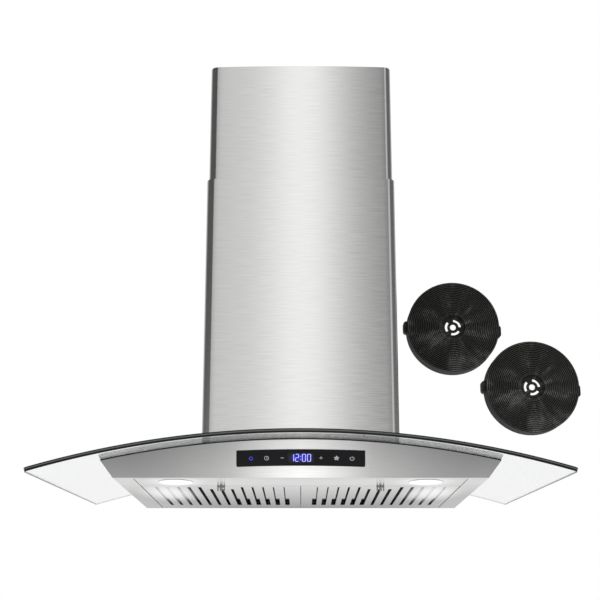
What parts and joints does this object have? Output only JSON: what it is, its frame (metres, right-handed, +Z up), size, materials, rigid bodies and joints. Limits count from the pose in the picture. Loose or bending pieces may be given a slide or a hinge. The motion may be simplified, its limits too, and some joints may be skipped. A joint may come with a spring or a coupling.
{
  "type": "canopy range hood",
  "caption": "Wall-hung range hood with an arched glass canopy, a sliding steel chimney, hinged baffle filters, lamps, a fan and a touch control strip.",
  "frame": {"origin": "on the wall plane at the centre of the four wall bolt holes in the back of the blower box", "axes": "+X to the right, +Y into the wall, +Z up; the front faces -Y"},
  "size_m": [0.897, 0.51, 0.762],
  "materials": {
    "canopy_glass": "clear tempered float glass, polished edges",
    "stainless": "stainless sheet with a fine horizontal brush",
    "galvanised": "galvanised sheet",
    "filter_mesh": "pressed stainless baffle",
    "control_black": "back-painted black glass",
    "control_case": "moulded control tray",
    "board": "circuit board laminate",
    "display_blue": "lit clock window, emissive",
    "lamp_chrome": "polished lamp ring",
    "lamp_lens": "frosted lens",
    "lamp_can": "cast lamp body",
    "black_plastic": "moulded black plastic",
    "white_plastic": "moulded fan plastic",
    "charcoal": "activated charcoal pad",
    "rubber": "soft black rubber",
    "spring_steel": "spring steel",
    "zinc_screw": "zinc plated",
    "motor_steel": "painted motor can",
    "cable": "sheathed cable"
  },
  "bodies": {
    "hood": {"glass_canopy": "canopy_glass", "glass_gasket": "rubber", "body_shell": "stainless", "front_fascia": "stainless", "top_deck": "galvanised", "control_glass": "control_black", "control_tray": "control_case", "control_board": "board", "touch_springs": "spring_steel", "time_display": "display_blue", "light_panel": "stainless", "latch_keeper_left": "spring_steel", "latch_keeper_right": "spring_steel", "lamp_left_bezel": "lamp_chrome", "lamp_left_lens": "lamp_lens", "lamp_left_can": "lamp_can", "lamp_right_bezel": "lamp_chrome", "lamp_right_lens": "lamp_lens", "lamp_right_can": "lamp_can", "lamp_clips": "spring_steel", "hinge_rod": "zinc_screw", "hinge_brackets": "galvanised", "blower_box": "galvanised", "flange_bolts": "zinc_screw", "glass_clips": "galvanised", "scroll_left": "white_plastic", "scroll_right": "white_plastic", "inlet_ring_left": "black_plastic", "inlet_ring_right": "black_plastic", "motor_bracket": "galvanised", "motor": "motor_steel", "motor_mounts": "rubber", "run_capacitor": "black_plastic", "outlet_adapter": "black_plastic", "duct_collar": "black_plastic", "collar_screws": "zinc_screw", "damper_pins": "zinc_screw", "mains_box": "black_plastic", "mains_lid": "black_plastic", "cable_gland": "black_plastic", "terminal_block": "white_plastic", "lamp_driver": "white_plastic", "internal_cable": "cable", "lower_chimney": "stainless", "chimney_brackets": "galvanised", "chimney_screws": "zinc_screw", "charcoal_upper_case": "black_plastic", "charcoal_upper_media": "charcoal", "charcoal_lower_case": "black_plastic", "charcoal_lower_media": "charcoal"},
    "upper_cover": {"upper_chimney": "stainless", "ceiling_bracket": "galvanised", "ceiling_screws": "zinc_screw"},
    "filter_left": {"filter_left_case": "filter_mesh", "filter_left_baffles": "filter_mesh", "filter_left_spring": "spring_steel"},
    "latch_left": {"filter_left_latch": "black_plastic"},
    "filter_right": {"filter_right_case": "filter_mesh", "filter_right_baffles": "filter_mesh", "filter_right_spring": "spring_steel"},
    "latch_right": {"filter_right_latch": "black_plastic"},
    "fan": {"impeller": "white_plastic", "motor_shaft": "zinc_screw"},
    "flap_front": {"damper_front": "black_plastic"},
    "flap_rear": {"damper_rear": "black_plastic"}
  },
  "joints": [
    {"name": "chimney_extend", "type": "slide", "parent": "hood", "child": "upper_cover", "axis": [0, 0, 1], "range_m": [-0.18, 0.16]},
    {"name": "filter_left_hinge", "type": "hinge", "parent": "hood", "child": "filter_left", "pos_m": [0, -0.02232, -0.16507], "axis": [1, 0, 0], "range_deg": [0, 70], "deforming": ["latch_keeper_left"]},
    {"name": "latch_left_slide", "type": "slide", "parent": "filter_left", "child": "latch_left", "axis": [0, 0.9991, -0.0415], "range_m": [0, 0.006], "stiffness_N_per_m": 400, "deforming": ["filter_left_spring"]},
    {"name": "filter_right_hinge", "type": "hinge", "parent": "hood", "child": "filter_right", "pos_m": [0, -0.02232, -0.16507], "axis": [1, 0, 0], "range_deg": [0, 70], "deforming": ["latch_keeper_right"]},
    {"name": "latch_right_slide", "type": "slide", "parent": "filter_right", "child": "latch_right", "axis": [0, 0.9991, -0.0415], "range_m": [0, 0.006], "stiffness_N_per_m": 400, "deforming": ["filter_right_spring"]},
    {"name": "fan_spin", "type": "hinge", "parent": "hood", "child": "fan", "pos_m": [0, -0.104, 0.015], "axis": [1, 0, 0], "continuous": true},
    {"name": "damper_front_swing", "type": "hinge", "parent": "hood", "child": "flap_front", "pos_m": [0, -0.0875, 0.178], "axis": [-1, 0, 0], "range_deg": [0, 75]},
    {"name": "damper_rear_swing", "type": "hinge", "parent": "hood", "child": "flap_rear", "pos_m": [0, -0.0805, 0.178], "axis": [1, 0, 0], "range_deg": [0, 75]}
  ]
}
